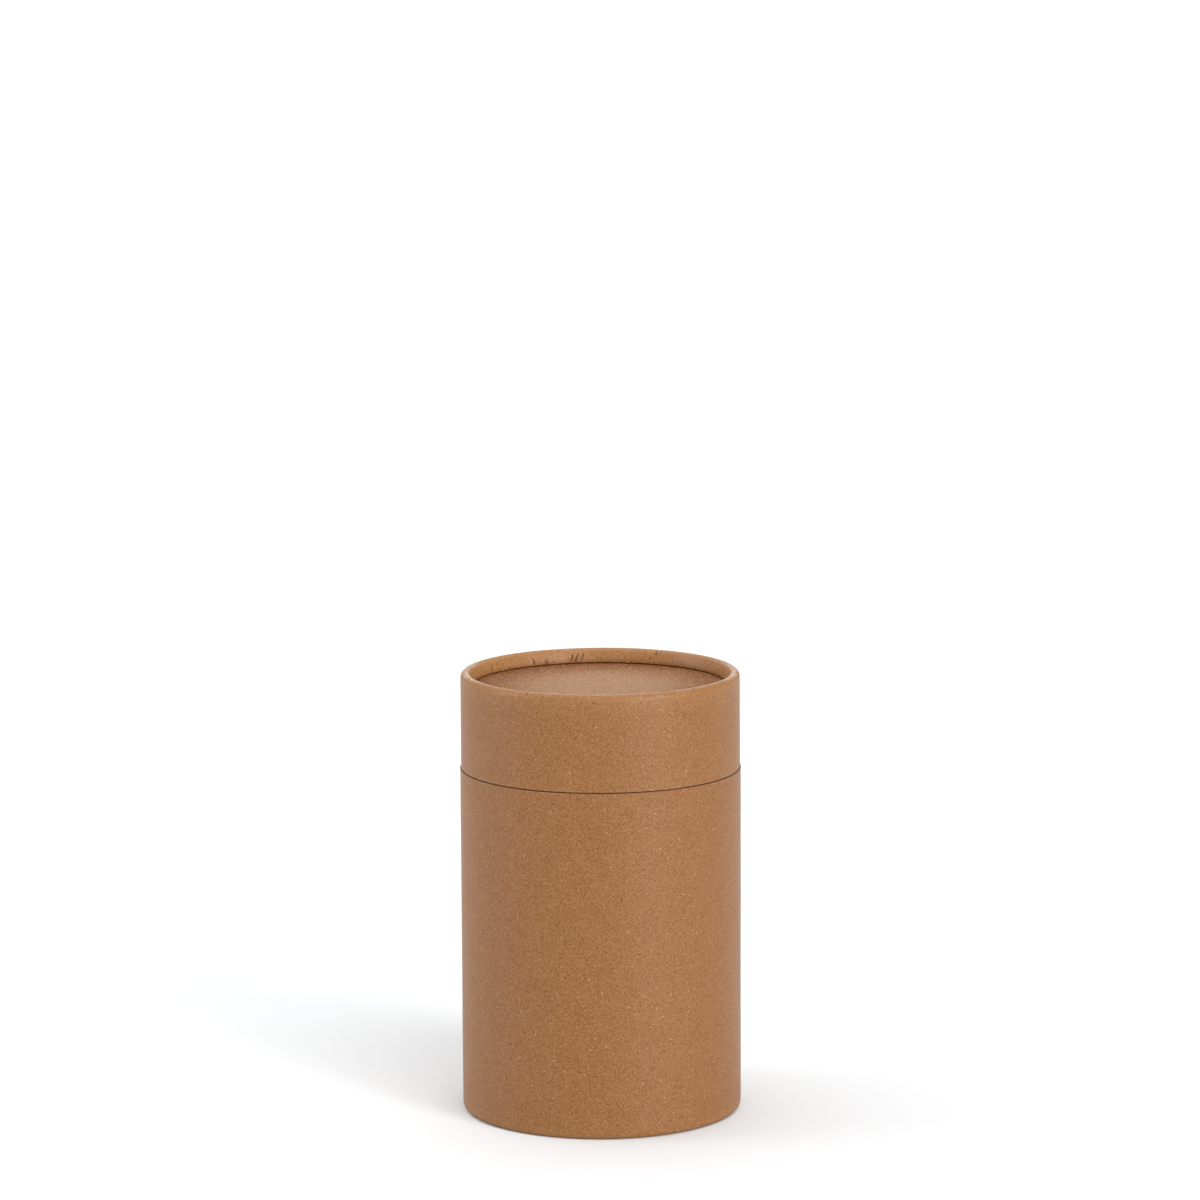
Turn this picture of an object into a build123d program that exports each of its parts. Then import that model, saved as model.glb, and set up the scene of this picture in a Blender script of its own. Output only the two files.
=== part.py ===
from build123d import *
import math
import os

# Cylindrical gift tube box: a wound kraft board tube with a slip-on lid.
#
# Lengths are in millimetres and angles in degrees. +Z is up, and the origin is the centre
# of the bottom rim, on the surface that the box stands on. Lid and base are wound walls of
# several layers. Each wall's closed end is rolled inwards into a rim, and a board disc lies
# behind the rim. An inner tube, the neck, is glued inside the base. It holds the bottom
# disc against the rim and stands up past the base's edge, and the lid slides over it.

# Outer sizes: the base's wall, the open seam above it, and the lid's wall
outside_diameter = 83.0
base_height = 102.85
seam_gap = 0.3
lid_height = 28.35
lid_inset = 0.25

# Fit of the lid on the neck
neck_head_room = 1.2
lid_slide_clearance = 0.2

# Papers, board and glue
face_paper = 0.15
lining_paper = 0.15
glue_line = 0.03
base_board_ply = 0.35
base_ply_count = 4
neck_board_ply = 0.30
neck_ply_count = 3
lid_ply_count = 3
disc_board = 1.5
disc_edge_clearance = 0.3
glue_bead_leg = 1.2

# Rolled rims, the same tool shape on the lid and on the base
shoulder_radius = 5.0
shoulder_turn = 12.0
rim_fold_hollow = 0.1
rim_crest_flat = 0.3
rim_lean = 22.0
rim_edge_gap = 0.35
lid_disc_recess = 4.4
base_disc_recess = 4.2

# Glued laps of the face papers, at the back: bearings are counted from +X
lap_width = 10.0
lid_lap_bearing = 100.0
base_lap_bearing = 63.0

quarter_turn = 90.0
half_turn = 180.0

# Base wall, worked inwards from the outer face
base_radius = outside_diameter / 2
base_wall = face_paper + base_ply_count * (glue_line + base_board_ply)
base_bore_radius = base_radius - base_wall

# Neck radius: it is glued inside the base
neck_radius = base_bore_radius - glue_line

# Lid wall, which fills the space between the lid's outer face and the sliding clearance
lid_radius = base_radius - lid_inset
lid_bore_radius = neck_radius + lid_slide_clearance
lid_wall = lid_radius - lid_bore_radius
lid_board = lid_wall - face_paper - lining_paper - glue_line
lid_board_ply = lid_board / lid_ply_count - glue_line
lid_wall_bottom = base_height + seam_gap
total_height = lid_wall_bottom + lid_height

# Discs with their papers, stacked away from the rim
disc_stack = face_paper + glue_line + disc_board + glue_line + lining_paper
lid_disc_radius = lid_bore_radius - disc_edge_clearance
base_disc_radius = base_bore_radius - disc_edge_clearance
lid_disc_top = total_height - lid_disc_recess
lid_disc_bottom = lid_disc_top - disc_stack
glue_bead_top = lid_disc_bottom - glue_line

# Neck height: it stands on the bottom disc and ends below the glue under the lid's disc
neck_bottom = base_disc_recess + disc_stack + glue_line
neck_top = glue_bead_top - glue_bead_leg - neck_head_room


def direction(angle):
    """Unit vector at an angle in the plane of radius and height."""
    return Vector(math.cos(math.radians(angle)), math.sin(math.radians(angle)))


def rim_rise(wall):
    """Height of a rim's outer rounding, from the straight wall's end to the crest."""
    fold_radius = wall + rim_fold_hollow
    fold_rise = fold_radius - fold_radius * math.sin(math.radians(shoulder_turn))
    return fold_rise + shoulder_radius * math.sin(math.radians(shoulder_turn))


def rolled_wall_line(outer_radius, wall, length, recess, depth):
    """Edges that follow a wall and its rolled rim, depth below the outer face.

    The rim is at the top with its crest at height zero, and the wall hangs below it. The
    wall turns in over a wide shoulder and folds tightly over the crest. Its inner side
    leans inwards, gets steeper on the way down and ends upright, just clear of the disc.
    """
    rise = rim_rise(wall)
    fold_radius = wall + rim_fold_hollow
    fold_drop = fold_radius - fold_radius * math.sin(math.radians(rim_lean))
    side_drop = recess - rim_edge_gap - fold_drop
    side_radius = side_drop / math.sin(math.radians(rim_lean))

    shoulder_centre = Vector(outer_radius - shoulder_radius, -rise)
    outer_fold_centre = shoulder_centre + direction(shoulder_turn) * (shoulder_radius - fold_radius)
    inner_fold_centre = outer_fold_centre - Vector(rim_crest_flat, 0)
    side_start = half_turn - rim_lean
    side_centre = inner_fold_centre + direction(side_start) * (fold_radius - side_radius)

    fold_turn = quarter_turn - shoulder_turn
    inner_turn = quarter_turn - rim_lean
    straight = Line((outer_radius - depth, -length), (outer_radius - depth, -rise))
    shoulder = CenterArc(shoulder_centre, shoulder_radius - depth, 0, shoulder_turn)
    outer_fold = CenterArc(outer_fold_centre, fold_radius - depth, shoulder_turn, fold_turn)
    inner_fold = CenterArc(inner_fold_centre, fold_radius - depth, quarter_turn, inner_turn)
    crest = Line(outer_fold @ 1, inner_fold @ 0)
    side = CenterArc(side_centre, side_radius - depth, side_start, rim_lean)
    return [straight, shoulder, outer_fold, crest, inner_fold, side]


def rolled_wall_profile(outer_radius, wall, length, recess, near, far):
    """Upright section of one layer of a rolled wall, between two depths below the outer face."""
    outside = rolled_wall_line(outer_radius, wall, length, recess, near)
    inside = rolled_wall_line(outer_radius, wall, length, recess, far)
    open_end = Line(outside[0] @ 0, inside[0] @ 0)
    rolled_end = Line(outside[-1] @ 1, inside[-1] @ 1)
    return Plane.XZ * Face(Wire(outside + inside + [open_end, rolled_end]))


def rolled_layers(outer_radius, wall, length, recess, thicknesses):
    """Solids of the layers of a rolled wall, from the outer face inwards, with glue between."""
    layers = []
    near = 0
    for thickness in thicknesses:
        far = near + thickness
        profile = rolled_wall_profile(outer_radius, wall, length, recess, near, far)
        layers.append(revolve(profile, Axis.Z))
        near = far + glue_line
    return layers


def paper_lap(outer_radius, wall, length, bearing):
    """The doubled strip where the face paper's end is glued over its start.

    It stands proud of the straight wall only, because rolling the rim presses it flat.
    """
    strip_height = length - rim_rise(wall)
    outside = outer_radius + face_paper
    inside = outer_radius - face_paper / 2
    profile = Pos(inside, -length) * Rectangle(outside - inside, strip_height, align=Align.MIN)
    strip = revolve(Plane.XZ * profile, Axis.Z, math.degrees(lap_width / outer_radius))
    return Rot(0, 0, bearing) * strip


def tube_layers(outer_radius, bottom, top, thicknesses):
    """Solids of the layers of a straight tube, from the outside inwards, with glue between."""
    layers = []
    radius = outer_radius
    for thickness in thicknesses:
        ring = Circle(radius) - Circle(radius - thickness)
        layers.append(Pos(0, 0, bottom) * extrude(ring, top - bottom))
        radius = radius - thickness - glue_line
    return layers


def disc_plate(radius, bottom, thickness):
    """A flat round plate that stands on a height."""
    return Pos(0, 0, bottom) * extrude(Circle(radius), thickness)


def lid_layers():
    """Face paper, board plies and lining of the lid, with the rim at the top."""
    thicknesses = [face_paper] + [lid_board_ply] * lid_ply_count + [lining_paper]
    walls = rolled_layers(lid_radius, lid_wall, lid_height, lid_disc_recess, thicknesses)
    walls[0] = walls[0] + paper_lap(lid_radius, lid_wall, lid_height, lid_lap_bearing)
    return [Pos(0, 0, total_height) * layer for layer in walls]


def base_layers():
    """Face paper and board plies of the base, turned over so that the rim is at the bottom.

    Turning over about X swaps front and back, so the lap is laid on the other side first.
    """
    thicknesses = [face_paper] + [base_board_ply] * base_ply_count
    first_bearing = -base_lap_bearing - math.degrees(lap_width / base_radius)
    walls = rolled_layers(base_radius, base_wall, base_height, base_disc_recess, thicknesses)
    walls[0] = walls[0] + paper_lap(base_radius, base_wall, base_height, first_bearing)
    return [Rot(half_turn, 0, 0) * layer for layer in walls]


def neck_layers():
    """Face paper, board plies and lining of the inner tube."""
    thicknesses = [face_paper] + [neck_board_ply] * neck_ply_count + [lining_paper]
    return tube_layers(neck_radius, neck_bottom, neck_top, thicknesses)


def disc_layers(radius, outer_face, inwards):
    """Face paper, board and lining of a disc, stacked inwards from its outer face.

    inwards is 1 where the inside of the box lies above the outer face, and -1 below it.
    """
    layers = []
    near = 0
    for thickness in (face_paper, disc_board, lining_paper):
        far = near + thickness
        bottom = min(outer_face + inwards * near, outer_face + inwards * far)
        layers.append(disc_plate(radius, bottom, thickness))
        near = far + glue_line
    return layers


def glue_bead():
    """The fillet of glue in the corner between the lid's disc and its lining."""
    edge = lid_bore_radius - glue_line
    corner = (edge, glue_bead_top)
    on_disc = (edge - glue_bead_leg, glue_bead_top)
    on_wall = (edge, glue_bead_top - glue_bead_leg)
    face_line = RadiusArc(on_wall, on_disc, -glue_bead_leg * 2)
    profile = Face(Wire([Line(corner, on_wall), face_line, Line(on_disc, corner)]))
    return revolve(Plane.XZ * profile, Axis.Z)


def named_layers(prefix, layers, last_name):
    """Name a wall's layers: face paper, numbered plies and, where there is one, the lining."""
    named = {prefix + "_face_paper": layers[0]}
    plies = layers[1:-1] if last_name else layers[1:]
    for number, ply in enumerate(plies, start=1):
        named[prefix + "_board_ply_" + str(number)] = ply
    if last_name:
        named[prefix + "_" + last_name] = layers[-1]
    return named


def named_disc(prefix, layers):
    """Name the three layers of a disc."""
    names = (prefix + "_disc_face_paper", prefix + "_disc", prefix + "_disc_lining")
    return dict(zip(names, layers))


def box_parts():
    """Every piece of the box by its name."""
    parts = {}
    parts.update(named_layers("lid", lid_layers(), "lining"))
    parts.update(named_disc("lid", disc_layers(lid_disc_radius, lid_disc_top, -1)))
    parts["lid_glue_bead"] = glue_bead()
    parts.update(named_layers("base", base_layers(), None))
    parts.update(named_layers("neck", neck_layers(), "lining"))
    parts.update(named_disc("base", disc_layers(base_disc_radius, base_disc_recess, 1)))
    return parts


os.makedirs("parts", exist_ok=True)
for name, shape in box_parts().items():
    export_step(shape, "parts/" + name + ".step")
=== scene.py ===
import math

import bpy
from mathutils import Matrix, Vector, noise


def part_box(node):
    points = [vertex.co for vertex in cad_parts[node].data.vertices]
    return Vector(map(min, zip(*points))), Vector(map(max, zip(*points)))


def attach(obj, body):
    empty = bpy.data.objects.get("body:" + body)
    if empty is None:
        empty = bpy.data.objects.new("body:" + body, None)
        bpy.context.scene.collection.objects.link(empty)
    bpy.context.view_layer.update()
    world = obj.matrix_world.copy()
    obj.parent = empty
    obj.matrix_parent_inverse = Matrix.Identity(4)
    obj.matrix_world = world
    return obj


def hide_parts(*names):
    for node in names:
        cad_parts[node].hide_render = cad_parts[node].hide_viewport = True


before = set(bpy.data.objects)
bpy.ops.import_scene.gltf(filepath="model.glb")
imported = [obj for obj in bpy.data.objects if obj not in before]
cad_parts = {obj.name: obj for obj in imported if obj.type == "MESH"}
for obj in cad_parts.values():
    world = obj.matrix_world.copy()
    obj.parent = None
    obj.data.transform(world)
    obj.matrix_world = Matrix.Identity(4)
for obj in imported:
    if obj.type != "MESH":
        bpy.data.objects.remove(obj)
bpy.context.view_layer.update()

bl_info = {
    "name": "Kraft tube box",
    "version": (1, 0, 0),
    "blender": (4, 5, 0),
    "location": "3D View > Sidebar > Tube box",
    "description": "Dresses the packed parts of a wound paper tube box with a slip-on lid",
    "category": "Add Mesh",
}

MM = 0.001

# Closer than this, two places count as one
TINY = 0.01 * MM
MERGE_DISTANCE = 1e-7

# How many columns each round piece has
LID_COLUMNS = 960
BASE_COLUMNS = 720
NECK_COLUMNS = 480
BEAD_COLUMNS = 360
DISC_COLUMNS = 240


def node_radius(node):
    """Outer radius of a round CAD node, which its box gives."""
    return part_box(node)[1].x


def node_bottom(node):
    """Height of a CAD node's lowest point."""
    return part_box(node)[0].z


def node_top(node):
    """Height of a CAD node's highest point."""
    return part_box(node)[1].z


def length_setting(name, description, default):
    """A length that a user may change, kept in metres."""
    return bpy.props.FloatProperty(name=name, description=description, default=default,
                                   unit="LENGTH", subtype="DISTANCE", precision=5)


def colour_setting(name, description, default):
    """A colour that a user may change."""
    return bpy.props.FloatVectorProperty(name=name, description=description, default=default,
                                         subtype="COLOR", min=0, max=1)


class TubeSizes(bpy.types.PropertyGroup):
    """Sizes of the box's papers and rims"""
    paper: length_setting("Paper", "Thickness of the kraft paper and of the linings", 0.15 * MM)
    lid_wall: length_setting("Lid wall", "Thickness of the lid's whole wall", 1.25 * MM)
    base_wall: length_setting("Base wall", "Thickness of the base's whole wall", 1.67 * MM)
    shoulder: length_setting("Shoulder", "Radius of a rim's wide outer rounding", 5.0 * MM)
    hollow: length_setting("Fold hollow", "Radius of the space inside a rim's fold", 0.1 * MM)
    crest: length_setting("Crest", "Width of the flat on a rim's top", 0.3 * MM)
    edge_gap: length_setting("Edge gap", "Space between a rolled wall's end and its disc",
                             0.35 * MM)
    lid_radius: length_setting("Lid radius", "Outer radius of the lid",
                               node_radius("lid_face_paper"))
    base_radius: length_setting("Base radius", "Outer radius of the base",
                                node_radius("base_face_paper"))


class TubeColours(bpy.types.PropertyGroup):
    """Colours of the box's papers, board and glue"""
    kraft: colour_setting("Kraft", "Face paper", (0.240, 0.0995, 0.0290))
    # The speck colour also paints shade in the curl's creases and in the seam
    speck_and_shade: colour_setting("Speck", "Dark specks in the face paper", (0.085, 0.025, 0.006))
    fibre: colour_setting("Fibre", "Light fibres in the papers", (0.62, 0.42, 0.27))
    # The rubbed colour also paints highlights and sheen on the rims and on the discs' middles
    rubbed_and_sheen: colour_setting("Rubbed", "Rubbed places of the face paper", (0.54, 0.435, 0.355))
    board: colour_setting("Board", "Wound board and discs", (0.190, 0.105, 0.055))
    lining: colour_setting("Lining", "Paper on the inside", (0.400, 0.225, 0.115))
    glue: colour_setting("Glue", "Dried glue", (0.70, 0.58, 0.38))


class Flow:
    """A shader socket that takes part in sums."""

    def __init__(self, tree, socket=None):
        self.tree = tree
        self.socket = socket

    def node(self, kind, settings, sockets, output=0):
        """Add any node: its settings first, then the values or links of its sockets."""
        made = self.tree.nodes.new(kind)
        for name, value in settings.items():
            setattr(made, name, value)
        for key, value in sockets.items():
            if isinstance(value, Flow):
                self.tree.links.new(value.socket, made.inputs[key])
            else:
                made.inputs[key].default_value = value
        return Flow(self.tree, made.outputs[output] if made.outputs else None)

    def output(self, name):
        """Another output of the node that this socket belongs to."""
        return Flow(self.tree, self.socket.node.outputs[name])

    def sum_node(self, operation, first, second):
        """A Math node."""
        return self.node("ShaderNodeMath", {"operation": operation}, {0: first, 1: second})

    def vector(self, operation, *values, output=0):
        """A Vector Math node."""
        sockets = dict(enumerate(values))
        return self.node("ShaderNodeVectorMath", {"operation": operation}, sockets, output)

    def scaled(self, factor):
        """This vector or colour times a number."""
        return self.node("ShaderNodeVectorMath", {"operation": "SCALE"}, {0: self, "Scale": factor})

    def dot(self, other):
        """How much of this vector lies along another."""
        return self.vector("DOT_PRODUCT", self, other, output="Value")

    def __add__(self, other):
        return self.sum_node("ADD", self, other)

    __radd__ = __add__

    def __mul__(self, other):
        return self.sum_node("MULTIPLY", self, other)

    __rmul__ = __mul__

    def __sub__(self, other):
        return self.sum_node("SUBTRACT", self, other)

    def __rsub__(self, other):
        return self.sum_node("SUBTRACT", other, self)


def fade(value, low, high):
    """Smooth step of a value, 0 at low and 1 at high, which may also lie below low."""
    sockets = {"Value": value, "From Min": low, "From Max": high, "To Min": 0.0, "To Max": 1.0}
    return value.node("ShaderNodeMapRange", {"interpolation_type": "SMOOTHSTEP"}, sockets)


def tint(colour, setting, share):
    """A colour with a share of one of the colour settings laid over it."""
    sockets = {0: share, 6: colour, 7: tuple(setting) + (1.0,)}
    return colour.node("ShaderNodeMix", {"data_type": "RGBA"}, sockets, 2)


def lit(setting, light):
    """One of the colour settings made lighter or darker by a number."""
    sockets = {0: tuple(setting), "Scale": light}
    return light.node("ShaderNodeVectorMath", {"operation": "SCALE"}, sockets)


# How red, green and blue of the paper change with its tone, and with the grain's light and dark
TONE_SHARES = (1.0, 1.55, 2.6)
GRAIN_SHARES = (1.0, 2.0, 4.0)
DARKEST_SHARES = (0.3, 0.2, 0.1)


def paled(grain, tone_and_painted_light, setting):
    """A paper colour made paler and greyer where grain and tone are above 0, and browner below."""
    shares = tone_and_painted_light.vector("MULTIPLY_ADD", tone_and_painted_light, TONE_SHARES, (1.0, 1.0, 1.0))
    shares = grain.vector("MULTIPLY_ADD", grain, GRAIN_SHARES, shares)
    shares = grain.vector("MAXIMUM", shares, DARKEST_SHARES)
    return grain.vector("MULTIPLY", shares, tuple(setting))


def cloud(place, per_mm, detail, roughness=0.5, shift=0.0):
    """Noise on the object's own coordinates, with its size given as repeats in a millimetre."""
    sockets = {"Vector": place, "Location": (shift, -shift, 0.7 * shift), "Rotation": (0.7, 0.5, 0.3)}
    moved = place.node("ShaderNodeMapping", {"vector_type": "POINT"}, sockets)
    return place.node("ShaderNodeTexNoise", {"noise_dimensions": "3D"},
                      {"Vector": moved, "Scale": per_mm, "Detail": detail, "Roughness": roughness})


def strewn(place, normal, spacing, length, width, share, shift):
    """Mask of short strokes that lie in the surface, one in some of the cells of a random lattice.

    place is in millimetres, as spacing, length and width are, and share is how many cells
    hold a stroke. A length near the width makes specks, and shift picks another lattice.
    """
    moved = place.vector("ADD", place, (shift, 0.4 * shift, -shift))
    cell = place.node("ShaderNodeTexVoronoi", {"voronoi_dimensions": "3D", "feature": "F1"},
                      {"Vector": moved, "Scale": 1.0 / spacing, "Randomness": 1.0}, "Position")
    chance = cell.output("Color")
    offset = place.vector("SUBTRACT", moved, cell)
    offset = place.vector("SUBTRACT", offset, normal.scaled(offset.dot(normal)))
    lay = place.vector("SUBTRACT", chance, (0.5, 0.5, 0.5))
    lay = place.vector("SUBTRACT", lay, normal.scaled(lay.dot(normal)))
    lay = place.vector("NORMALIZE", lay)
    along = offset.dot(lay)
    beside = place.vector("SUBTRACT", offset, lay.scaled(along))
    beside = beside.vector("LENGTH", beside, output="Value")
    along = along.node("ShaderNodeMath", {"operation": "ABSOLUTE"}, {0: along})
    pick = chance.vector("DOT_PRODUCT", chance, (7.0, 3.0, 5.0), output="Value")
    pick = pick.node("ShaderNodeMath", {"operation": "FRACT"}, {0: pick})
    held = fade(pick, share, share * 0.85)
    stroke = fade(beside, width * 0.65, width * 0.35)
    return stroke * fade(along, length * 0.6, length * 0.35) * held


def blank_finish(name):
    """An empty material and a Flow to start its nodes from."""
    material = bpy.data.materials.new(name)
    material.use_nodes = True
    material.node_tree.nodes.clear()
    return material, Flow(material.node_tree)


def surface_place(start):
    """The object's coordinates in millimetres."""
    return start.node("ShaderNodeTexCoord", {}, {}, "Object").scaled(1.0 / MM)


def surface_normal(start):
    """The direction in which the surface faces."""
    return start.node("ShaderNodeTexCoord", {}, {}, "Normal")


def own_value(start, name):
    """A value that a piece's mesh carries, 0 on a piece without it."""
    return start.node("ShaderNodeAttribute", {"attribute_name": name}, {}, "Fac")


def close_finish(start, colour, roughness, height, depth, constants):
    """The shader's last nodes, with constants set directly on its sockets.

    height is how high the surface's texture stands, in shares of depth, which is in millimetres.
    """
    bump = {"Strength": 1.0, "Distance": depth * MM, "Height": height}
    normal = start.node("ShaderNodeBump", {}, bump)
    sockets = {"Base Color": colour, "Roughness": roughness, "Normal": normal}
    sockets.update(constants)
    shader = start.node("ShaderNodeBsdfPrincipled", {}, sockets)
    start.node("ShaderNodeOutputMaterial", {}, {"Surface": shader})


def kraft_finish(colours):
    """Unbleached kraft paper: mottled, with bark specks, light fibres, creases, rubbed places and
    painted light and shade.

    The meshes carry how worn the paper is, with painted sheen and highlights added, its painted shade
    in creases and at the seam, its tone with painted light and shade on the rims and discs, how much
    paler and greyer a painted sheen makes a disc's middle, and whether it is the flat paper of a
    disc, which is duller and has streaks.
    """
    material, start = blank_finish("kraft face paper")
    place = surface_place(start)
    normal = surface_normal(start)
    wear_and_sheen = own_value(start, "wear_and_sheen")
    flat = own_value(start, "flat")

    grain = cloud(place, per_mm=3.0, detail=2.0, roughness=0.6)
    mottle = cloud(place, per_mm=1.3, detail=2.0, roughness=0.55, shift=23.0)
    drift = cloud(place, per_mm=0.16, detail=2.0, roughness=0.5, shift=17.0)
    drawn_out = place.vector("MULTIPLY", place, (1.0, 0.3, 1.0))
    streaks = cloud(drawn_out, per_mm=1.9, detail=2.0, roughness=0.6, shift=5.0)
    uneven = (streaks - 0.5) * flat * 1.55 + (grain - 0.5) * 1.5 + (mottle - 0.5) * 0.3
    # The mesh's tone adds painted light and shade on the rims and discs, and pale adds painted sheen
    # on a disc's middle
    colour = paled(uneven, (drift - 0.5) * 0.12 + own_value(start, "tone_and_painted_light"), colours.kraft)
    colour = tint(colour, colours.rubbed_and_sheen, own_value(start, "pale"))

    bend = cloud(place, per_mm=0.45, detail=2.0, shift=11.0).output("Color")
    bent = place.vector("ADD", place, place.vector("SUBTRACT", bend, (0.5, 0.5, 0.5)).scaled(0.8))
    fibres = strewn(bent, normal, spacing=1.6, length=1.5, width=0.17, share=0.6, shift=3.0)
    hairs = strewn(bent, normal, spacing=1.2, length=0.9, width=0.16, share=0.6, shift=31.0)
    specks = strewn(bent, normal, spacing=3.4, length=0.50, width=0.34, share=0.18, shift=57.0)
    dust = strewn(bent, normal, spacing=1.5, length=0.32, width=0.24, share=0.15, shift=83.0)
    flecks = strewn(bent, normal, spacing=4.6, length=0.45, width=0.26, share=0.22, shift=71.0)
    colour = tint(colour, colours.fibre, fibres * 0.13)
    colour = tint(colour, colours.speck_and_shade, hairs * 0.07)
    colour = tint(colour, colours.speck_and_shade, specks * 0.9)
    colour = tint(colour, colours.speck_and_shade, dust * 0.30)
    colour = tint(colour, colours.fibre, flecks * 0.6)
    # Painted shade in the curl's creases and in the seam, in the speck colour
    colour = tint(colour, colours.speck_and_shade, own_value(start, "painted_shade") * 0.95)

    # Rubbed places, and painted highlights and sheen on the crests, the shoulder and the rim's ends
    patches = cloud(place, per_mm=1.3, detail=3.0, roughness=0.6, shift=41.0)
    worn_and_sheen = fade(patches + wear_and_sheen * 0.55, 0.62, 0.92)
    colour = tint(colour, colours.rubbed_and_sheen, worn_and_sheen * fade(wear_and_sheen, 0.0, 0.25) * (wear_and_sheen * 0.5 + 0.45))
    roughness = (mottle - 0.5) * 0.3 + 0.46 + wear_and_sheen * 0.15 + flat * 0.34
    height = grain * 0.7 + mottle * 0.6 + fibres * 0.4 - specks * 0.3
    close_finish(start, colour, roughness, height, depth=0.07, constants={"Specular IOR Level": 0.30})
    return material


def lining_finish(colours):
    """Smoother, paler paper inside the box."""
    material, start = blank_finish("lining paper")
    place = surface_place(start)
    normal = surface_normal(start)
    mottle = cloud(place, per_mm=1.6, detail=3.0, roughness=0.6)
    drift = cloud(place, per_mm=0.12, detail=2.0, roughness=0.5, shift=9.0)
    specks = strewn(place, normal, spacing=3.2, length=0.5, width=0.3, share=0.3, shift=21.0)
    fibres = strewn(place, normal, spacing=2.2, length=1.8, width=0.16, share=0.5, shift=63.0)
    colour = lit(colours.lining, (mottle - 0.5) * 0.4 + (drift - 0.5) * 0.14 + 1.0)
    colour = tint(colour, colours.speck_and_shade, specks * 0.5)
    colour = tint(colour, colours.fibre, fibres * 0.3)
    roughness = (mottle - 0.5) * 0.2 + 0.62
    height = mottle * 0.6 + fibres * 0.4
    close_finish(start, colour, roughness, height, depth=0.03, constants={"Specular IOR Level": 0.4})
    return material


def board_finish(colours):
    """Grey-brown board of recycled fibre, with darker and paler bits."""
    material, start = blank_finish("wound board")
    place = surface_place(start)
    normal = surface_normal(start)
    layered = place.vector("MULTIPLY", place, (1.0, 1.0, 3.0))
    mottle = cloud(layered, per_mm=1.8, detail=4.0, roughness=0.65)
    dark = strewn(place, normal, spacing=1.2, length=0.6, width=0.2, share=0.4, shift=13.0)
    pale = strewn(place, normal, spacing=1.4, length=0.7, width=0.2, share=0.4, shift=47.0)
    colour = lit(colours.board, (mottle - 0.5) * 0.7 + 1.0)
    colour = tint(colour, colours.speck_and_shade, dark * 0.5)
    colour = tint(colour, colours.fibre, pale * 0.5)
    roughness = (mottle - 0.5) * 0.2 + 0.85
    close_finish(start, colour, roughness, mottle, depth=0.08, constants={"Specular IOR Level": 0.3})
    return material


def glue_finish(colours):
    """Dried glue: cloudy and slightly glossy."""
    material, start = blank_finish("dried glue")
    mottle = cloud(surface_place(start), per_mm=0.6, detail=2.0, roughness=0.5)
    colour = lit(colours.glue, (mottle - 0.5) * 0.3 + 1.0)
    roughness = mottle * 0.2 + 0.25
    close_finish(start, colour, roughness, mottle, depth=0.1, constants={"Subsurface Weight": 0.1})
    return material


FINISHES = {"kraft_face": kraft_finish, "lining": lining_finish, "wound_board": board_finish,
            "glue": glue_finish}
finish_store = {}


def finish(slot):
    """The material for one of the record's slots, made when it is first asked for."""
    if slot not in finish_store:
        finish_store[slot] = FINISHES[slot](bpy.context.scene.tube_colours)
    return finish_store[slot]


# The rims' roundings, in degrees: how far the shoulder turns, and how the curl leans inwards
SHOULDER_TURN = 12.0
RIM_LEAN = 22.0

# Heights of a rolled paper's rings above its cut edge, and the step between the rings further up
EDGE_RINGS = (0.0, 0.12 * MM, 0.3 * MM, 0.7 * MM, 1.5 * MM, 3.0 * MM)
WALL_STEP = 5.0 * MM


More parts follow.
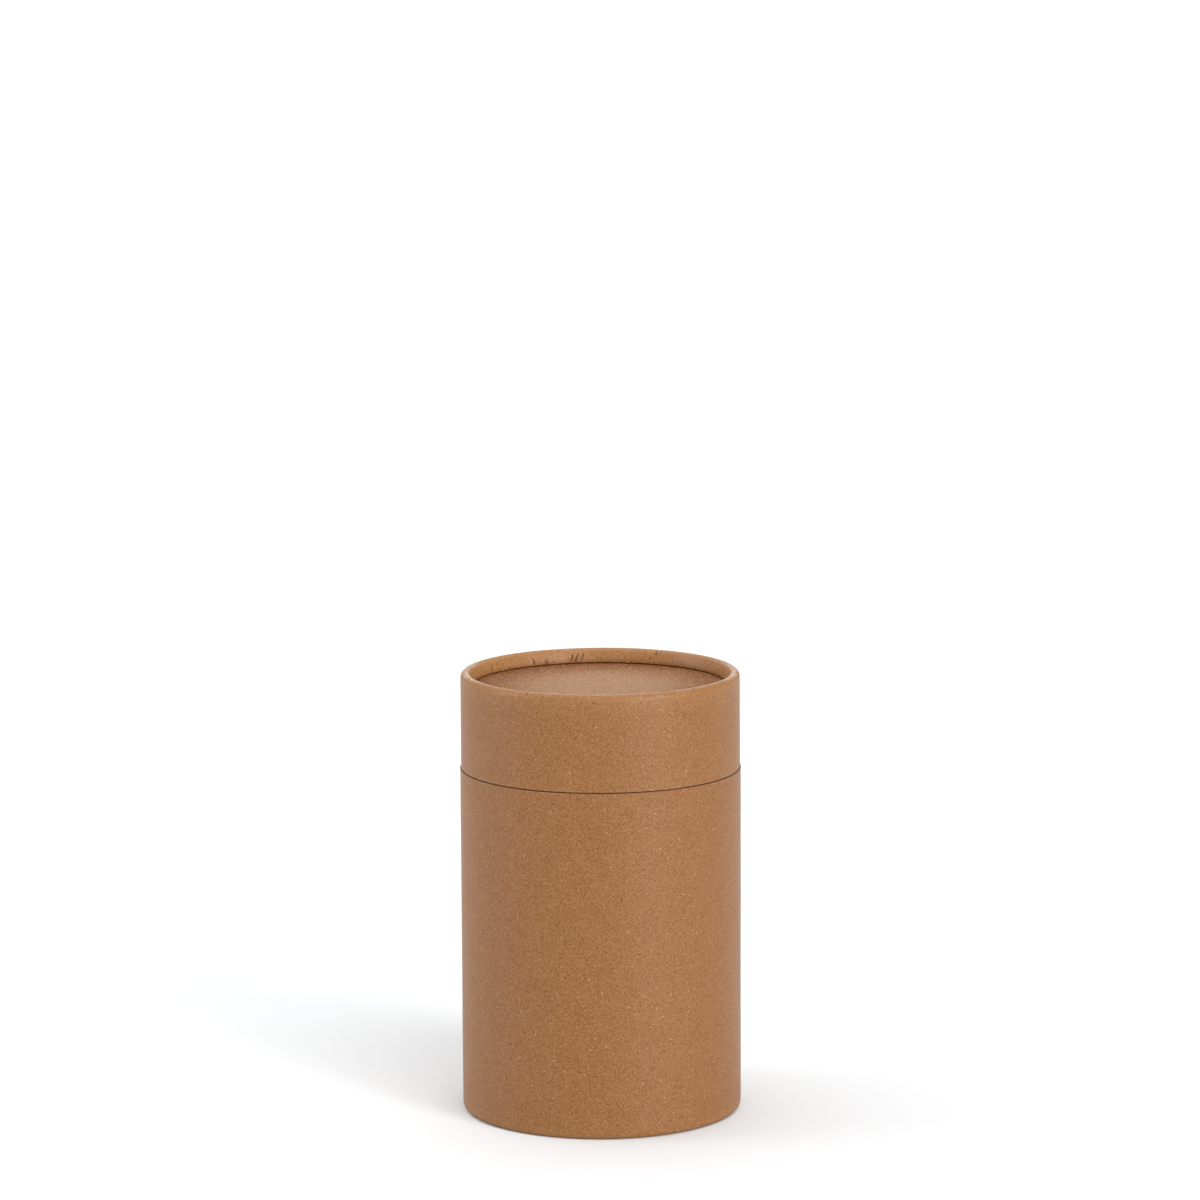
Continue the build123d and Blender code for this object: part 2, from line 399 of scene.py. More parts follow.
class RolledOutline:
    """Outer face of a wall's paper from its open edge, over the rim, to its rolled end.

    rings holds (radius, height, normal out, normal up, along) for each ring of the piece.
    along is the length from the crest, below zero on the wall's side and above it inside.
    """

    def __init__(self, sizes, radius, wall, length, crest_height, up, disc_face):
        fold = wall + sizes.hollow
        turn = math.radians(SHOULDER_TURN)
        lean = math.radians(RIM_LEAN)
        rise = sizes.shoulder * math.sin(turn) + fold - fold * math.sin(turn)
        recess = abs(disc_face - crest_height)
        side = (recess - sizes.edge_gap - fold + fold * math.sin(lean)) / math.sin(lean)
        reach = sizes.shoulder - fold
        shoulder_centre = (radius - sizes.shoulder, -rise)
        outer_centre = (shoulder_centre[0] + reach * math.cos(turn),
                        shoulder_centre[1] + reach * math.sin(turn))
        inner_centre = (outer_centre[0] - sizes.crest, outer_centre[1])
        side_start = math.pi - lean
        side_centre = (inner_centre[0] + (fold - side) * math.cos(side_start),
                       inner_centre[1] + (fold - side) * math.sin(side_start))

        self.points = [(radius, -length + step, 1.0, 0.0) for step in EDGE_RINGS]
        start = -length + EDGE_RINGS[-1]
        steps = max(2, round((-rise - start) / WALL_STEP))
        for number in range(1, steps):
            self.points.append((radius, start + (-rise - start) * number / steps, 1.0, 0.0))
        self.add_arc(shoulder_centre, sizes.shoulder, 0.0, turn, 4)
        self.add_arc(outer_centre, fold, turn, math.pi / 2, 10)
        self.add_arc(inner_centre, fold, math.pi / 2, side_start, 8)
        self.add_arc(side_centre, side, side_start, math.pi, 9)

        travelled = [0.0]
        for before, after in zip(self.points, self.points[1:]):
            travelled.append(travelled[-1] + math.hypot(after[0] - before[0], after[1] - before[1]))
        crest_length = travelled[self.crest_number()] + sizes.crest / 2
        self.rings = []
        for point, distance in zip(self.points, travelled):
            height = crest_height + up * point[1]
            self.rings.append((point[0], height, point[2], up * point[3], distance - crest_length))

    def add_arc(self, centre, size, first, last, steps):
        """Add an arc's points, without one that the list already ends with."""
        for number in range(steps + 1):
            angle = first + (last - first) * number / steps
            out = math.cos(angle)
            rise = math.sin(angle)
            point = (centre[0] + size * out, centre[1] + size * rise, out, rise)
            end = self.points[-1]
            if math.hypot(end[0] - point[0], end[1] - point[1]) >= TINY:
                self.points.append(point)

    def crest_number(self):
        """Number of the outermost point on the crest's flat, which is at height 0."""
        crest = [at for at, point in enumerate(self.points) if point[1] > -1e-9]
        return max(crest, key=lambda at: self.points[at][0])


def start_ring(radius, height, columns):
    """A ring of edges in edit mode, alone in the selection."""
    bpy.ops.object.select_all(action="DESELECT")
    bpy.ops.mesh.primitive_circle_add(vertices=columns, radius=radius, location=(0.0, 0.0, height))
    bpy.ops.object.mode_set(mode="EDIT")
    bpy.ops.mesh.select_mode(type="VERT")
    bpy.ops.mesh.select_all(action="SELECT")
    return bpy.context.object


def wound_shell(name, rings, columns):
    """A shell round the tube's axis, extruded ring by ring and widened or narrowed to each radius."""
    piece = start_ring(rings[0][0], rings[0][1], columns)
    for before, after in zip(rings, rings[1:]):
        step = (0.0, 0.0, after[1] - before[1])
        bpy.ops.mesh.extrude_region_move(TRANSFORM_OT_translate={"value": step})
        grow = after[0] / before[0]
        if abs(grow - 1.0) > 1e-9:
            bpy.ops.transform.resize(value=(grow, grow, 1.0), center_override=(0.0, 0.0, after[1]))
    bpy.ops.object.mode_set(mode="OBJECT")
    bpy.ops.object.transform_apply(location=True, rotation=True, scale=True)
    piece.name = name
    piece.data.name = name
    return piece


def point_outwards(piece, facing):
    """Recalculate an open shell's normals, turned over if facing says that they point inwards."""
    bpy.ops.object.mode_set(mode="EDIT")
    bpy.ops.mesh.select_all(action="SELECT")
    bpy.ops.mesh.remove_doubles(threshold=MERGE_DISTANCE)
    bpy.ops.mesh.normals_make_consistent(inside=False)
    bpy.ops.object.mode_set(mode="OBJECT")
    face = piece.data.polygons[0]
    if facing(face.center).dot(face.normal) < 0:
        bpy.ops.object.mode_set(mode="EDIT")
        bpy.ops.mesh.select_all(action="SELECT")
        bpy.ops.mesh.flip_normals()
        bpy.ops.object.mode_set(mode="OBJECT")


def outwards(point):
    """Direction from the tube's axis to a point."""
    return Vector((point.x, point.y, 0.0)).normalized()


def thicken(piece, thickness):
    """Give a sheet its thickness, behind its face, and smooth its shading up to its edges."""
    sheet = piece.modifiers.new("thickness", "SOLIDIFY")
    sheet.thickness = thickness
    sheet.offset = -1.0
    sheet.use_even_offset = True
    bpy.ops.object.modifier_apply(modifier=sheet.name)
    bpy.ops.object.shade_smooth_by_angle(angle=math.radians(40.0))


def dress(piece, node, body, slot):
    """Put a piece in a CAD node's place, with its slot's finish."""
    piece.data.materials.clear()
    piece.data.materials.append(finish(slot))
    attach(piece, body)
    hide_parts(node)


def bump_shape(distance, reach):
    """A smooth hump, 1 at no distance and 0 beyond its reach."""
    share = min(abs(distance) / reach, 1.0)
    return (1.0 - share * share) ** 2


def fade_share(value, low, high):
    """Smooth step of a number, 0 below low and 1 above high."""
    share = min(max((value - low) / (high - low), 0.0), 1.0)
    return share * share * (3.0 - 2.0 * share)


def turned(bearing, other):
    """Smallest turn between two bearings, in degrees."""
    return (bearing - other + 180.0) % 360.0 - 180.0


def new_values(piece, names):
    """New values for each vertex of a piece.

    All are made before any is looked up, because making one moves the others.
    """
    for name in names:
        piece.data.attributes.new(name, "FLOAT", "POINT")
    return {name: piece.data.attributes[name].data for name in names}


def work_vertices(piece, rings, move, low, high):
    """Move each vertex of a shell along its ring's normal, and keep its wear with painted sheen, its
    painted shade, and its tone with painted light and shade.

    move takes the bearing in degrees, the length along the outline and the height, and gives
    the lift, the turn in degrees, the rise and the three values for the finish. No vertex
    goes below low or above high.
    """
    values = new_values(piece, ("wear_and_sheen", "painted_shade", "tone_and_painted_light"))
    nearest = {}
    for vertex in piece.data.vertices:
        x, y, z = vertex.co
        radius = math.hypot(x, y)
        key = (round(radius * 1e6), round(z * 1e6))
        if key not in nearest:
            nearest[key] = min(rings, key=lambda ring: (ring[0] - radius) ** 2 + (ring[1] - z) ** 2)
        ring_radius, ring_height, normal_out, normal_up, along = nearest[key]
        bearing = math.degrees(math.atan2(y, x)) % 360.0
        lift, turn, rise, wear_and_sheen, painted_shade, tone_and_painted_light = move(bearing, along, ring_height)
        angle = math.radians(bearing + turn)
        reach = ring_radius + lift * normal_out
        height = ring_height + lift * normal_up + rise
        vertex.co = (reach * math.cos(angle), reach * math.sin(angle), min(max(height, low), high))
        values["wear_and_sheen"][vertex.index].value = wear_and_sheen
        values["painted_shade"][vertex.index].value = painted_shade
        values["tone_and_painted_light"][vertex.index].value = tone_and_painted_light


def ripple(bearing, height, per_turn, seed):
    """Even noise round the tube, about -1 to 1, that closes on itself."""
    angle = math.radians(bearing)
    reach = per_turn / (2 * math.pi)
    place = Vector((reach * math.cos(angle) + seed, reach * math.sin(angle) - seed, height))
    return 2.0 * noise.noise(place)


# Creases of the lid's inner curl: bearing and half width in degrees, depth, first and last length
# from the crest in millimetres, and slant in degrees for each millimetre
LID_CREASES = (
    (121.875, 0.50, 0.17, 2.8, 5.2, 0.0),
    (115.875, 0.42, 0.09, 3.4, 5.0, -0.3),
    (114.750, 0.42, 0.09, 3.2, 4.8, 0.3),
    (103.125, 0.45, 0.12, 2.3, 4.8, 0.5),
    (100.875, 0.50, 0.18, 2.3, 5.2, 0.6),
    (98.250, 0.45, 0.13, 2.3, 4.4, 0.6),
    (63.75, 0.60, 0.12, 1.5, 2.1, 0.0),
    (149.0, 0.5, 0.06, 2.4, 4.8, 0.2),
    (196.0, 0.5, 0.09, 2.4, 5.0, -0.3),
    (231.0, 0.5, 0.06, 2.8, 4.8, 0.4),
    (263.0, 0.6, 0.10, 2.2, 5.0, 0.0),
    (297.0, 0.5, 0.07, 2.6, 4.8, -0.5),
    (341.0, 0.5, 0.09, 2.4, 5.0, 0.3),
    (23.0, 0.5, 0.05, 3.0, 4.8, -0.2),
)

# Creases of the base's curl, under the box, in the same order
BASE_CREASES = (
    (63.4, 0.5, 0.12, 1.7, 5.0, 0.4),
    (76.0, 0.5, 0.09, 2.2, 4.8, -0.3),
    (118.0, 0.5, 0.08, 2.6, 5.0, 0.0),
    (171.0, 0.5, 0.07, 3.0, 5.0, 0.5),
    (222.0, 0.6, 0.10, 2.2, 5.2, -0.2),
    (268.0, 0.5, 0.06, 3.0, 4.8, 0.3),
    (309.0, 0.5, 0.09, 2.6, 5.0, 0.0),
    (12.0, 0.5, 0.08, 2.8, 5.0, -0.4),
)

# Rubbed places of the lid's rim, and painted highlights and sheen on it: bearing and half width in
# degrees, length from the crest and half length in millimetres, and strength. The two on the front
# shoulder are scuffs made stronger as a painted highlight, and the two at the rim's left and right
# ends are painted sheen
LID_RUBS_AND_SHEEN = (
    (289.0, 6.0, -2.1, 0.6, 0.34),
    (295.5, 4.0, -1.7, 0.5, 0.30),
    (104.5, 1.5, 0.9, 0.6, 0.40),
    (99.0, 1.5, 0.2, 0.5, 0.35),
    (181.0, 9.0, -0.6, 0.9, 0.30),
    (357.0, 9.0, -0.6, 0.9, 0.26),
)


# A crease is a groove between two lips. Their height is a share of its depth, and their distance
# from its middle, their reach, and how far a crease matters are shares of its half width.
LIP_HEIGHT = 0.9
LIP_DISTANCE = 2.2
LIP_REACH = 1.8
CREASE_REACH = 8.0

# The depth from which a crease's painted shade is as dark as any
DARK_DEPTH = 0.12


def curl_crease(bearing, along, creases):
    """Lift and painted shade that the creases give a place on a curl."""
    lift = 0.0
    dark = 0.0
    place = along / MM
    for middle, half, depth, first, last, slant in creases:
        away = turned(bearing, middle)
        if abs(away) > half * CREASE_REACH:
            continue
        from_centre = place - (first + last) / 2
        wander = 0.25 * half * math.sin(place * 2.1 + middle)
        away -= wander + slant * from_centre
        ends = bump_shape(from_centre, (last - first) / 2 + 0.3)
        lift -= depth * bump_shape(away, half) * ends
        for lip in (-LIP_DISTANCE * half, LIP_DISTANCE * half):
            lift += depth * LIP_HEIGHT * bump_shape(away + lip, LIP_REACH * half) * ends
        strength = min(1.0, 2.0 * ends) * min(1.0, depth / DARK_DEPTH)
        dark += 1.5 * bump_shape(away, 1.15 * half) * strength
    return lift * MM, min(dark, 1.0)


def rubs_and_sheen(bearing, along, places):
    """Strength of the rubbed places, painted highlights and painted sheen at a place on a rim."""
    wear_and_sheen = 0.0
    for middle, half, length, reach, strength in places:
        part = bump_shape(turned(bearing, middle), half) * bump_shape(along / MM - length, reach)
        wear_and_sheen = max(wear_and_sheen, part * strength)
    return wear_and_sheen


def crest_highlight(bearing, along):
    """Painted highlight on a crest: a thin line along its front, and a broad zone at its left and
    right.
    """
    frontwards = -math.sin(math.radians(bearing))
    sideways = abs(math.cos(math.radians(bearing)))
    line = fade_share(frontwards, -0.2, 0.1) * bump_shape(along - 0.3 * MM, 0.6 * MM)
    zone = 0.58 * fade_share(sideways, 0.8, 0.99) * bump_shape(along + 0.1 * MM, 2.4 * MM)
    return max(line, zone)


def rim_painted_light(along):
    """Painted light on a rim: its shoulder and curl paler than the wall, and painted shade at its end
    beside the disc.
    """
    place = along / MM
    tone_and_painted_light = 0.14 * fade_share(place, -4.6, -2.0) + 0.16 * fade_share(place, -1.0, 1.2)
    return tone_and_painted_light - 0.38 * fade_share(place, 3.9, 5.2)


# Laps: bearings of the free edge and of the covered paper's start, and the run-out beyond it
LID_LAP = (100.0, 113.9)
BASE_LAP = (63.0, 76.8)
NECK_LAP = (140.0, 154.0)
LAP_RUN_OUT = 1.6

# Rolling presses a lap flat: this starts at a length before the crest, and takes a second length
LAP_PRESSED = 3.4 * MM
LAP_PRESSED_REACH = 2.6 * MM


def lap_step(bearing, lap, lap_lift):
    """Lift of a lapped paper: a sharp free edge at its first bearing and a soft start at its last."""
    into = turned(bearing, lap[0])
    span = turned(lap[1], lap[0])
    if into < 0.0 or into > span + LAP_RUN_OUT:
        return 0.0
    if into <= span:
        return lap_lift
    return lap_lift * (1.0 - fade_share((into - span) / LAP_RUN_OUT, 0.0, 1.0))


# Unevenness of the rolled papers: of the wall, of the curl, and of the cut edge, which stands
# out a little, is ragged, and was cut a little long
WALL_RIPPLE = 0.02 * MM
CURL_RIPPLE = 0.035 * MM
EDGE_FLARE = 0.05 * MM
EDGE_WAVE = 0.03 * MM
EDGE_RAG = 0.015 * MM
EDGE_EXTRA = 0.05 * MM

# The cut edge gets painted shade in the seam, and the paper beside it a painted highlight
SEAM_PAINTED_SHADE = 0.6
SEAM_PAINTED_HIGHLIGHT = 0.26

# The small nick in the lid's edge: bearing and half width in degrees, depth, and how rubbed it is
NICK_BEARING = 266.7
NICK_HALF = 0.9
NICK_DEPTH = 0.12 * MM
NICK_WEAR = 0.6

# The share of their way to a lap's free edge that the vertices beside it are drawn, so that the
# edge is sharp
LAP_DRAW = 0.85


def paper_move(paper, creases, places, lap, edge_height, up, seed, column):
    """The vertex rule for a rolled wall's paper, the lid's where up is above 0.

    paper is its thickness, edge_height is where its cut edge is, and column is the turn
    between its vertices.
    """
    lid = up > 0

    def move(bearing, along, height):
        on_wall = along < 0
        from_edge = abs(height - edge_height)
        near_edge = bump_shape(from_edge, 0.5 * MM) if on_wall else 0.0
        beside_edge = bump_shape(from_edge - 0.35 * MM, 0.4 * MM) if on_wall else 0.0
        nick = bump_shape(turned(bearing, NICK_BEARING), NICK_HALF) * near_edge if lid else 0.0

        lift, dark = curl_crease(bearing, along, creases)
        lift += WALL_RIPPLE * ripple(bearing, height * 60, per_turn=14, seed=seed)
        if along > 0.3 * MM:
            lift += CURL_RIPPLE * ripple(bearing, along * 300, per_turn=46, seed=seed + 3.0)
        pressed = min(max((along + LAP_PRESSED) / LAP_PRESSED_REACH, 0.0), 1.0)
        lift += lap_step(bearing, lap, paper * 0.98) * (1.0 - pressed)
        lift += EDGE_FLARE * near_edge

        into = turned(bearing, lap[0])
        turn = -into * LAP_DRAW if abs(into) < column and pressed < 1.0 else 0.0

        rise = NICK_DEPTH * nick * up
        if on_wall and from_edge < TINY:
            rise += EDGE_WAVE * ripple(bearing, seed, per_turn=30, seed=seed)
            rise += EDGE_RAG * ripple(bearing, seed, per_turn=300, seed=seed)
            rise -= EDGE_EXTRA * up
        # Painted shade on the cut edge in the seam
        if on_wall and from_edge < 0.05 * MM:
            dark = SEAM_PAINTED_SHADE

        # Rubbed places, with painted sheen at the rim's ends and painted highlights on the crest, the
        # shoulder and beside the seam
        wear_and_sheen = max(rubs_and_sheen(bearing, along, places), crest_highlight(bearing, along))
        wear_and_sheen = max(wear_and_sheen, SEAM_PAINTED_HIGHLIGHT * beside_edge, NICK_WEAR * nick)
        # Painted light on the rim's shoulder and curl, and painted shade at its end beside the disc
        tone_and_painted_light = rim_painted_light(along) + (0.02 if lid else 0.0)
        return lift, turn, rise, wear_and_sheen, dark, tone_and_painted_light

    return move


# How far the ragged cut edges may stand past the CAD nodes' ends, into the seam
EDGE_PLAY = 0.1 * MM


def rolled_paper(body, radius, wall, columns, creases, places, lap, seed):
    """Model the face paper of the lid's or the base's rolled wall in its CAD node's place."""
    sizes = bpy.context.scene.tube_sizes
    lid = body == "lid"
    node = body + "_face_paper"
    disc = body + "_disc_face_paper"
    low = node_bottom(node)
    high = node_top(node)
    up = 1.0 if lid else -1.0
    crest_height = high if lid else low
    edge_height = low if lid else high
    disc_face = node_top(disc) if lid else node_bottom(disc)
    length = high - low
    outline = RolledOutline(sizes, radius, wall, length, crest_height, up, disc_face)
    move = paper_move(sizes.paper, creases, places, lap, edge_height, up, seed, 360.0 / columns)
    piece = wound_shell(node + "_sheet", outline.rings, columns)
    point_outwards(piece, outwards)
    if lid:
        work_vertices(piece, outline.rings, move, low - EDGE_PLAY, high)
    else:
        work_vertices(piece, outline.rings, move, low, high + EDGE_PLAY)
    thicken(piece, sizes.paper)
    dress(piece, node, body, "kraft_face")


class TUBEBOX_OT_lid_paper(bpy.types.Operator):
    """Model the lid's kraft face paper, over its rolled rim"""
    bl_idname = "tubebox.lid_paper"
    bl_label = "Lid face paper"
    bl_options = {"REGISTER", "UNDO"}

    def execute(self, context):
        sizes = context.scene.tube_sizes
        rolled_paper("lid", sizes.lid_radius, sizes.lid_wall, LID_COLUMNS, LID_CREASES, LID_RUBS_AND_SHEEN,
                     LID_LAP, seed=2.0)
        return {"FINISHED"}


class TUBEBOX_OT_base_paper(bpy.types.Operator):
    """Model the base's kraft face paper, over its rolled rim"""
    bl_idname = "tubebox.base_paper"
    bl_label = "Base face paper"
    bl_options = {"REGISTER", "UNDO"}

    def execute(self, context):
        sizes = context.scene.tube_sizes
        rolled_paper("base", sizes.base_radius, sizes.base_wall, BASE_COLUMNS, BASE_CREASES, (),
                     BASE_LAP, seed=7.0)
        return {"FINISHED"}


# A disc's paper: its rings, the first one's width, and the radius that the last one leaves
DISC_RINGS = 22
DISC_EDGE_RING = 0.25 * MM
DISC_MIDDLE = 1.2 * MM


def disc_sheet(node, body, slot, upwards, wave, seed):
    """Model a round paper glued flat on a disc, inset ring by ring from its edge.

    wave is how high its waves are, in millimetres. Its middle is the palest and greyest, a painted
    sheen and highlight, and its edge carries painted shade from the rim.
    """
    sizes = bpy.context.scene.tube_sizes
    radius = node_radius(node)
    face = node_top(node) if upwards else node_bottom(node)
    bpy.ops.object.select_all(action="DESELECT")
    bpy.ops.mesh.primitive_circle_add(vertices=DISC_COLUMNS, radius=radius, fill_type="NGON",
                                      location=(0.0, 0.0, face))
    piece = bpy.context.object
    bpy.ops.object.mode_set(mode="EDIT")
    bpy.ops.mesh.select_all(action="SELECT")
    bpy.ops.mesh.inset(thickness=DISC_EDGE_RING)
    for ring in range(DISC_RINGS):
        bpy.ops.mesh.inset(thickness=(radius - DISC_MIDDLE) / DISC_RINGS)
    bpy.ops.object.mode_set(mode="OBJECT")
    bpy.ops.object.transform_apply(location=True, rotation=True, scale=True)
    piece.name = node + "_sheet"
    piece.data.name = piece.name
    point_outwards(piece, lambda point: Vector((0.0, 0.0, 1.0 if upwards else -1.0)))
    values = new_values(piece, ("tone_and_painted_light", "pale", "flat"))
    for vertex in piece.data.vertices:
        x, y, z = vertex.co
        out = math.hypot(x, y)
        broad = noise.noise(Vector((x * 70 + seed, y * 70, seed)))
        fine = noise.noise(Vector((x * 260, y * 260 + seed, seed)))
        vertex.co.z = z + wave * MM * (broad + 0.3 * fine) * bump_shape(out, radius * 1.1)
        # Painted highlight and sheen in the middle, and painted shade towards the rim
        values["tone_and_painted_light"][vertex.index].value = 0.14 - 0.32 * fade_share(out / radius, 0.35, 0.95)
        values["pale"][vertex.index].value = 0.17 - 0.17 * fade_share(out / radius, 0.3, 0.9)
        values["flat"][vertex.index].value = 1.0
    thicken(piece, sizes.paper)
    dress(piece, node, body, slot)


class TUBEBOX_OT_disc_papers(bpy.types.Operator):
    """Model the papers on both sides of the lid's disc and of the bottom disc"""
    bl_idname = "tubebox.disc_papers"
    bl_label = "Disc papers"
    bl_options = {"REGISTER", "UNDO"}

    def execute(self, context):
        disc_sheet("lid_disc_face_paper", "lid", "kraft_face", upwards=True, wave=0.05, seed=1.0)
        disc_sheet("base_disc_face_paper", "base", "kraft_face", upwards=False, wave=0.04, seed=4.0)
        disc_sheet("lid_disc_lining", "lid", "lining", upwards=False, wave=0.03, seed=6.0)
        disc_sheet("base_disc_lining", "base", "lining", upwards=True, wave=0.03, seed=9.0)
        return {"FINISHED"}


# Distances of the neck paper's first rings from its cut edges, and its rings between them
NECK_EDGE_RINGS = (0.0, 0.15 * MM, 0.6 * MM)
NECK_STEPS = 24


def straight_rings(radius, bottom, top):
    """Rings of a straight sheet that faces outwards, with close ones at its two cut edges."""
    heights = [bottom + step for step in NECK_EDGE_RINGS]
    between = top - bottom - 2 * NECK_EDGE_RINGS[-1]
    for number in range(1, NECK_STEPS):
        heights.append(bottom + NECK_EDGE_RINGS[-1] + between * number / NECK_STEPS)
    heights += [top - step for step in reversed(NECK_EDGE_RINGS)]
    return [(radius, height, 1.0, 0.0, height - top) for height in heights]


class TUBEBOX_OT_neck_paper(bpy.types.Operator):
    """Model the kraft paper round the neck, with its lap and its rubbed top edge"""
    bl_idname = "tubebox.neck_paper"
    bl_label = "Neck face paper"
    bl_options = {"REGISTER", "UNDO"}

    def execute(self, context):
        sizes = context.scene.tube_sizes
        node = "neck_face_paper"
        rings = straight_rings(node_radius(node), node_bottom(node), node_top(node))
        piece = wound_shell(node + "_sheet", rings, NECK_COLUMNS)
        point_outwards(piece, outwards)

        def move(bearing, along, height):
            lift = 0.01 * MM * ripple(bearing, height * 60, per_turn=12, seed=12.0)
            lift += lap_step(bearing, NECK_LAP, 0.08 * MM)
            edge = bump_shape(along, 0.8 * MM)
            lift -= 0.02 * MM * edge
            rise = 0.0
            if along > -TINY:
                rise = min(0.02 * MM * ripple(bearing, 5.0, per_turn=60, seed=5.0), 0.0)
            return lift, 0.0, rise, 0.7 * edge, 0.0, 0.03

        work_vertices(piece, rings, move, node_bottom(node), node_top(node))
        thicken(piece, sizes.paper)
        dress(piece, node, "base", "kraft_face")
        return {"FINISHED"}


# The glue bead's face: its steps, how far it sags between its ends in shares of its leg, and its
# unevenness round the ring
BEAD_STEPS = 8
BEAD_SAG = 0.12
BEAD_LUMPS = 0.10
BEAD_SWELLS = 0.07
BEAD_LEAST = 0.88


def bead_rings(radius, top, leg):
    """Radius and height of the bead's corner, and then of its face from the wall to the disc."""
    rings = [(radius, top)]
    for number in range(BEAD_STEPS + 1):
        share = number / BEAD_STEPS
        sag = BEAD_SAG * leg * math.sin(math.pi * share)
        rings.append((radius - leg * share - sag, top - leg * (1.0 - share) - sag))
    return rings


def close_bead(piece, radius, top, leg):
    """Bridge the bead's last ring, on the disc, to its first one, in the corner."""
    bpy.ops.object.mode_set(mode="EDIT")
    bpy.ops.mesh.select_all(action="DESELECT")
    bpy.ops.object.mode_set(mode="OBJECT")
    for edge in piece.data.edges:
        ends = [piece.data.vertices[at].co for at in edge.vertices]
        reaches = [end.to_2d().length for end in ends]
        level = abs(ends[0].z - ends[1].z) < 0.2 * MM and abs(reaches[0] - reaches[1]) < 0.2 * MM
        at_top = min(end.z for end in ends) > top - TINY
        on_disc = min(reaches) < radius - leg * 0.6
        in_corner = min(reaches) > radius - TINY
        edge.select = level and at_top and (on_disc or in_corner)
    bpy.ops.object.mode_set(mode="EDIT")
    bpy.ops.mesh.select_mode(type="EDGE")
    bpy.ops.mesh.bridge_edge_loops()
    bpy.ops.mesh.select_all(action="SELECT")
    bpy.ops.mesh.remove_doubles(threshold=MERGE_DISTANCE)
    bpy.ops.mesh.normals_make_consistent(inside=False)
    bpy.ops.object.mode_set(mode="OBJECT")


class TUBEBOX_OT_glue_bead(bpy.types.Operator):
    """Model the uneven ring of glue in the corner under the lid's disc"""
    bl_idname = "tubebox.glue_bead"
    bl_label = "Glue bead"
    bl_options = {"REGISTER", "UNDO"}

    def execute(self, context):
        node = "lid_glue_bead"
        radius = node_radius(node)
        top = node_top(node)
        leg = top - node_bottom(node)
        piece = wound_shell(node + "_ring", bead_rings(radius, top, leg), BEAD_COLUMNS)
        for vertex in piece.data.vertices:
            x, y, z = vertex.co
            reach = math.hypot(x, y)
            if math.hypot(reach - radius, z - top) < TINY:
                continue
            angle = math.atan2(y, x)
            bearing = math.degrees(angle) % 360.0
            pull = BEAD_LEAST + BEAD_LUMPS * ripple(bearing, 2.0, per_turn=40, seed=3.0)
            pull += BEAD_SWELLS * ripple(bearing, 4.0, per_turn=11, seed=8.0)
            out = radius + (reach - radius) * pull
            vertex.co = (out * math.cos(angle), out * math.sin(angle), top + (z - top) * pull)
        close_bead(piece, radius, top, leg)
        bpy.ops.object.shade_smooth_by_angle(angle=math.radians(50.0))
        dress(piece, node, "lid", "glue")
        return {"FINISHED"}


# CAD nodes that stay as they are and only get a finish
KEPT_NODES = {
    "lid_board_ply_1": "wound_board",
    "lid_board_ply_2": "wound_board",
    "lid_board_ply_3": "wound_board",
    "lid_lining": "lining",
    "lid_disc": "wound_board",
    "base_board_ply_1": "wound_board",
    "base_board_ply_2": "wound_board",
    "base_board_ply_3": "wound_board",
    "base_board_ply_4": "wound_board",
    "neck_board_ply_1": "wound_board",
    "neck_board_ply_2": "wound_board",
    "neck_board_ply_3": "wound_board",
    "neck_lining": "lining",
    "base_disc": "wound_board",
}


class TUBEBOX_OT_board_finish(bpy.types.Operator):
    """Give the kept CAD layers of board and lining their finish"""
    bl_idname = "tubebox.board_finish"
    bl_label = "Board and lining finish"
    bl_options = {"REGISTER", "UNDO"}

    def execute(self, context):
        for node, slot in KEPT_NODES.items():
            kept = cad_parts[node]
            if not kept.material_slots:
                raise RuntimeError("a CAD node has no material slot: " + node)
            for held in kept.material_slots:
                held.material = finish(slot)
        return {"FINISHED"}


# Soft lamps far away: name, bearing round the box, height above the floor and apparent size, all
# in degrees, and strength
LAMPS = (
    ("key lamp", 312.0, 12.0, 20.0, 2.18),
    ("fill lamp", 181.0, 12.0, 30.0, 1.27),
    ("front lamp", 300.0, 52.0, 35.0, 0.95),
    ("left lamp", 215.0, 35.0, 90.0, 0.25),
    ("top lamp", 90.0, 85.0, 90.0, 0.75),
    ("back lamp", 112.0, 58.0, 90.0, 1.22),
)
WORLD_LIGHT = 0.35

# The camera that took the photo: its place, its turn on each axis in radians, and its lens
CAMERA_PLACE = (0.0, -1.4826, 0.3962)
CAMERA_TURN = (math.pi / 2 - 0.1628, 0.0046, -0.00081)
CAMERA_LENS = 153.10
CAMERA_SENSOR = 36.0

# The floor lies this far under the box, so that the two do not share a face
FLOOR_DROP = 0.02 * MM
FLOOR_SIZE = 60.0
FLOOR_SHADE = 0.783


def place_lamp(name, bearing, elevation, angle, energy):
    """A soft lamp far away that shines on the box."""
    across = math.cos(math.radians(elevation))
    away = Vector((math.cos(math.radians(bearing)) * across, math.sin(math.radians(bearing)) * across,
                   math.sin(math.radians(elevation))))
    facing = away.to_track_quat("Z", "Y").to_euler()
    bpy.ops.object.light_add(type="SUN", location=away * 2.0, rotation=facing)
    lamp = bpy.context.object
    lamp.name = name
    lamp.data.angle = math.radians(angle)
    lamp.data.energy = energy


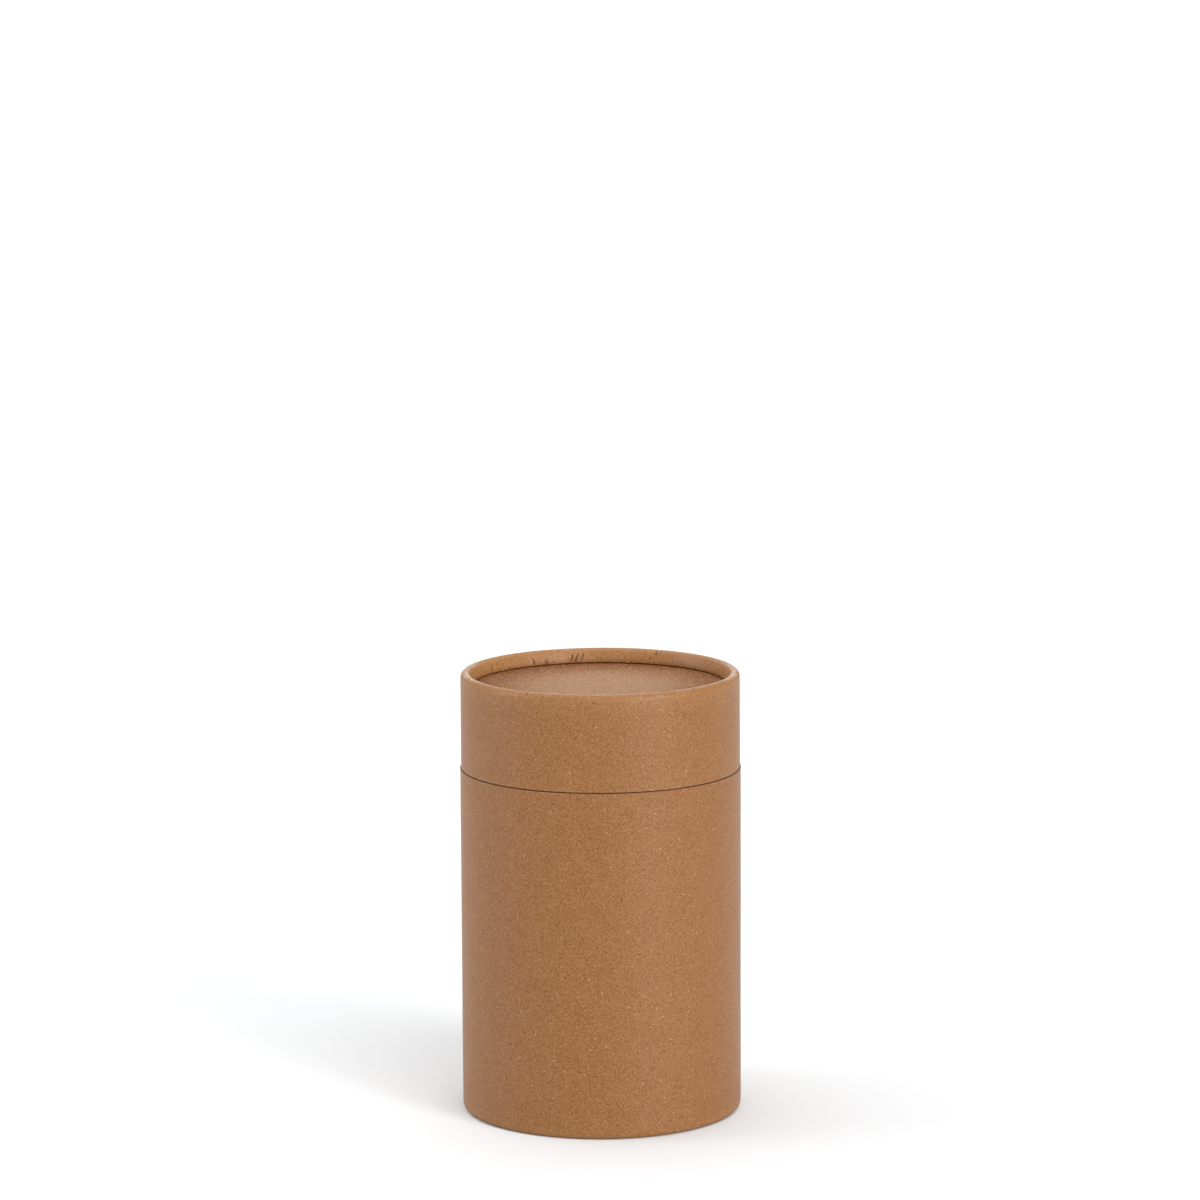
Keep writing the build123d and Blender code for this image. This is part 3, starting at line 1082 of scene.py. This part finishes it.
def floor_finish():
    """Matt and pale, very slightly cloudy and bluish."""
    material, start = blank_finish("white floor")
    shade = cloud(surface_place(start), per_mm=0.002, detail=1.0) * 0.01 + FLOOR_SHADE
    sockets = {0: shade - 0.008, 1: shade + 0.002, 2: shade + 0.010}
    colour = start.node("ShaderNodeCombineColor", {}, sockets)
    sockets = {"Base Color": colour, "Roughness": 0.9, "Specular IOR Level": 0.0}
    shader = start.node("ShaderNodeBsdfPrincipled", {}, sockets)
    start.node("ShaderNodeOutputMaterial", {}, {"Surface": shader})
    return material


class TUBEBOX_OT_stage(bpy.types.Operator):
    """Add the pale floor, the soft studio light and the camera"""
    bl_idname = "tubebox.stage"
    bl_label = "Floor, light and camera"
    bl_options = {"REGISTER", "UNDO"}

    def execute(self, context):
        scene = context.scene
        bpy.ops.object.select_all(action="DESELECT")
        bpy.ops.mesh.primitive_plane_add(size=FLOOR_SIZE, location=(0.0, 0.0, -FLOOR_DROP))
        floor = context.object
        floor.name = "floor"
        floor.data.materials.append(floor_finish())
        bpy.ops.object.transform_apply(location=True, rotation=True, scale=True)

        world = bpy.data.worlds.new("white studio")
        world.use_nodes = True
        sky = world.node_tree.nodes["Background"]
        sky.inputs["Color"].default_value = (1.0, 1.0, 1.0, 1.0)
        sky.inputs["Strength"].default_value = WORLD_LIGHT
        scene.world = world
        for lamp in LAMPS:
            place_lamp(*lamp)

        bpy.ops.object.camera_add(location=CAMERA_PLACE, rotation=CAMERA_TURN)
        camera = context.object
        camera.name = "photo camera"
        camera.data.sensor_fit = "HORIZONTAL"
        camera.data.sensor_width = CAMERA_SENSOR
        camera.data.lens = CAMERA_LENS
        camera.data.clip_end = 200.0
        scene.camera = camera
        scene.view_settings.view_transform = "Standard"
        scene.view_settings.look = "None"
        return {"FINISHED"}


class TUBEBOX_PT_panel(bpy.types.Panel):
    """Lists the steps that dress the tube box"""
    bl_idname = "TUBEBOX_PT_panel"
    bl_label = "Tube box"
    bl_space_type = "VIEW_3D"
    bl_region_type = "UI"
    bl_category = "Tube box"

    def draw(self, context):
        sizes = context.scene.tube_sizes
        colours = context.scene.tube_colours
        for name in TubeSizes.__annotations__:
            self.layout.prop(sizes, name)
        for name in TubeColours.__annotations__:
            self.layout.prop(colours, name)
        for step in STEPS:
            self.layout.operator(step.bl_idname)


STEPS = (
    TUBEBOX_OT_stage,
    TUBEBOX_OT_lid_paper,
    TUBEBOX_OT_base_paper,
    TUBEBOX_OT_disc_papers,
    TUBEBOX_OT_neck_paper,
    TUBEBOX_OT_glue_bead,
    TUBEBOX_OT_board_finish,
)
CLASSES = (TubeSizes, TubeColours) + STEPS + (TUBEBOX_PT_panel,)


def register():
    """Register the classes and hang the settings on the scene."""
    for held in CLASSES:
        bpy.utils.register_class(held)
    bpy.types.Scene.tube_sizes = bpy.props.PointerProperty(type=TubeSizes)
    bpy.types.Scene.tube_colours = bpy.props.PointerProperty(type=TubeColours)


def unregister():
    """Take the settings and the classes away again."""
    del bpy.types.Scene.tube_colours
    del bpy.types.Scene.tube_sizes
    for held in reversed(CLASSES):
        bpy.utils.unregister_class(held)


def main():
    """Dress the box."""
    register()
    for step in STEPS:
        group, name = step.bl_idname.split(".")
        getattr(getattr(bpy.ops, group), name)()


if __name__ == "__main__":
    main()
